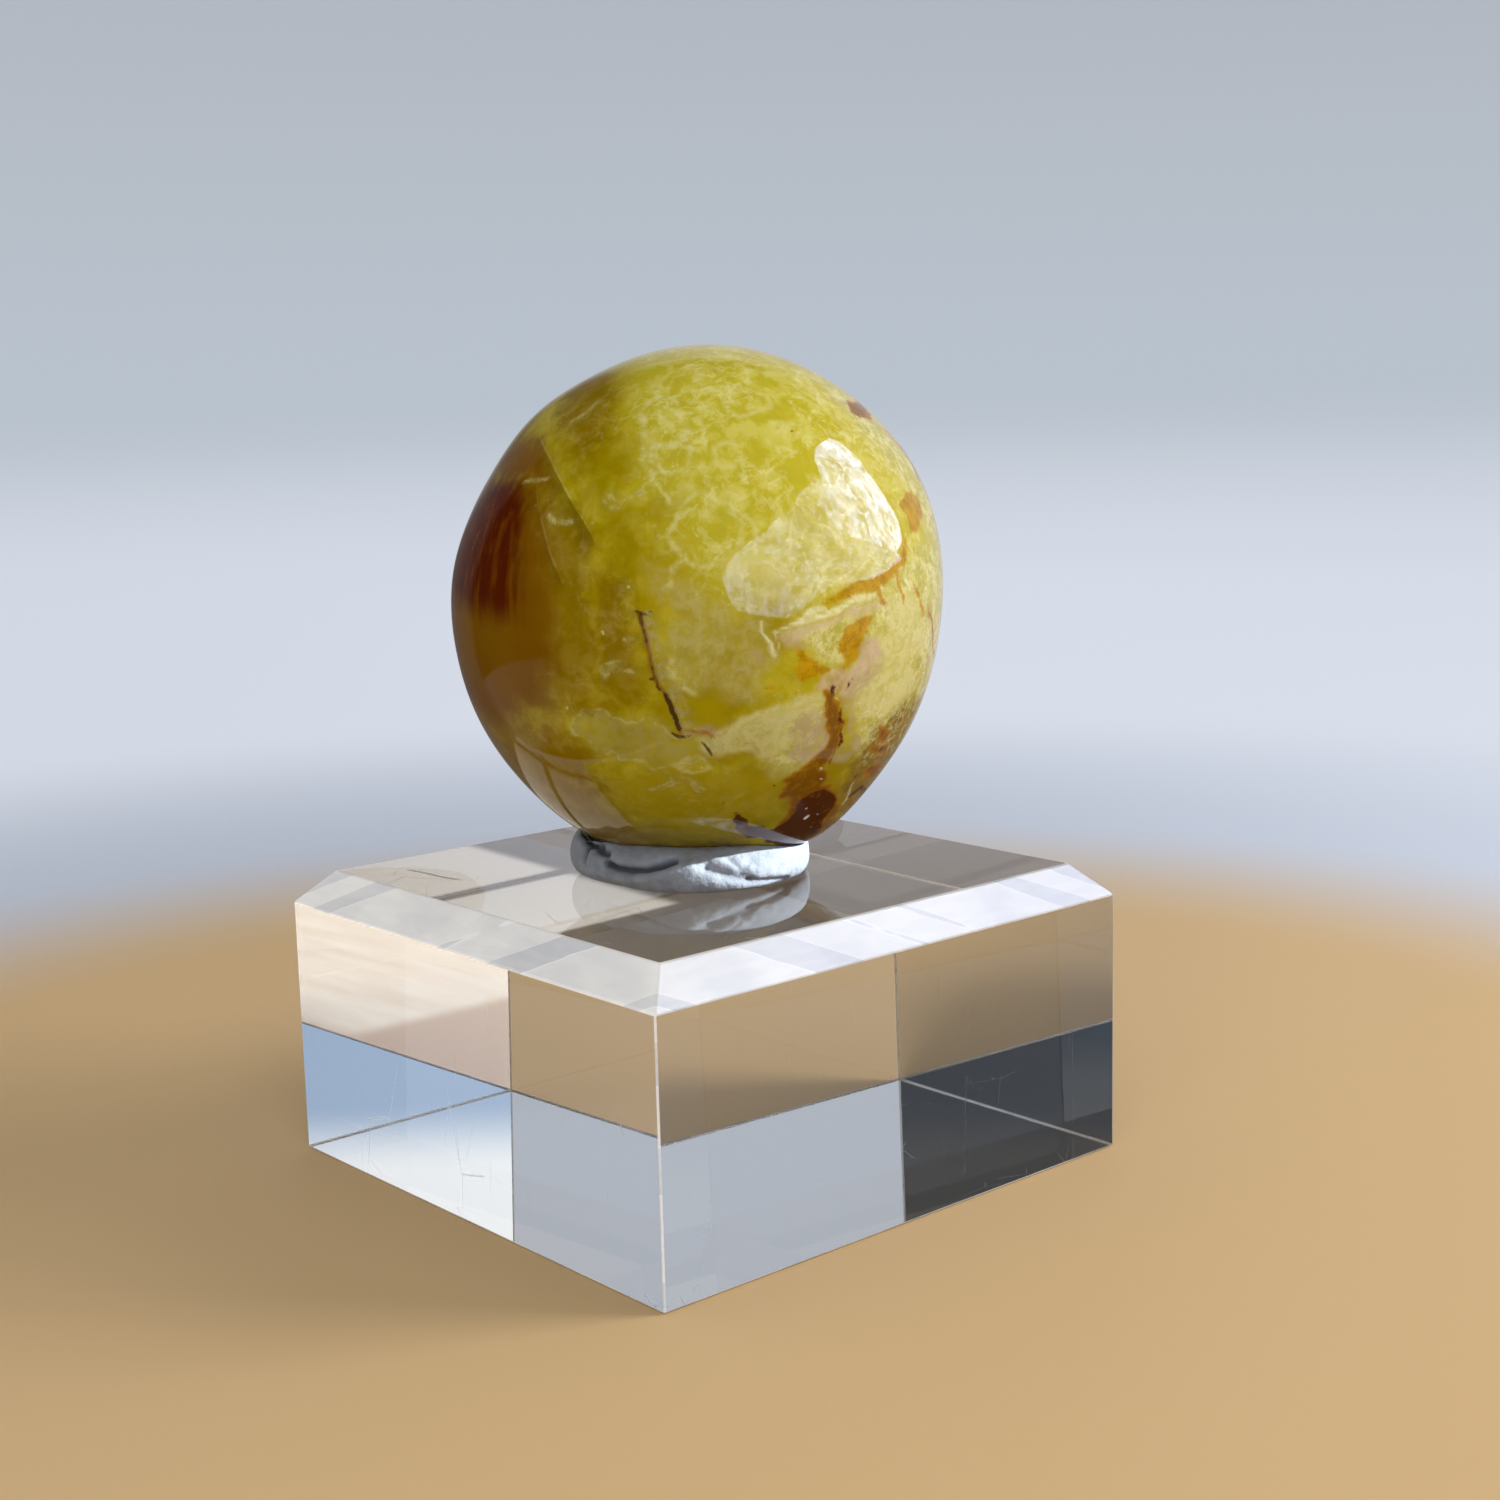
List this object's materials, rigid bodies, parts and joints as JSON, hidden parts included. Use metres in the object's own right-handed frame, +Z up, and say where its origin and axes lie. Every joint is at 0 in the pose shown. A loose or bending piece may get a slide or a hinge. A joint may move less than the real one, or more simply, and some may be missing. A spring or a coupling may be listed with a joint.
{
  "type": "polished opal on an acrylic block",
  "caption": "Polished near-round yellow-green opal with brown veins, held by a lump of mineral putty on a clear square acrylic block with a chamfered top.",
  "frame": {"origin": "middle of the block's underside", "axes": "+Z up; X and Y square to the block's sides; the picture looks at the corner between -X and -Y"},
  "size_m": [0.05, 0.05, 0.069],
  "materials": {
    "acrylic": "clear, polished faces with crisp edges",
    "putty": "pale grey, dull, pressed by fingers",
    "opal": "polished, waxy and a little translucent, yellow-green with pale webs, amber and brown veins"
  },
  "bodies": {
    "root": {"acrylic_block": "acrylic", "mineral_putty": "putty", "opal": "opal"}
  },
  "joints": []
}
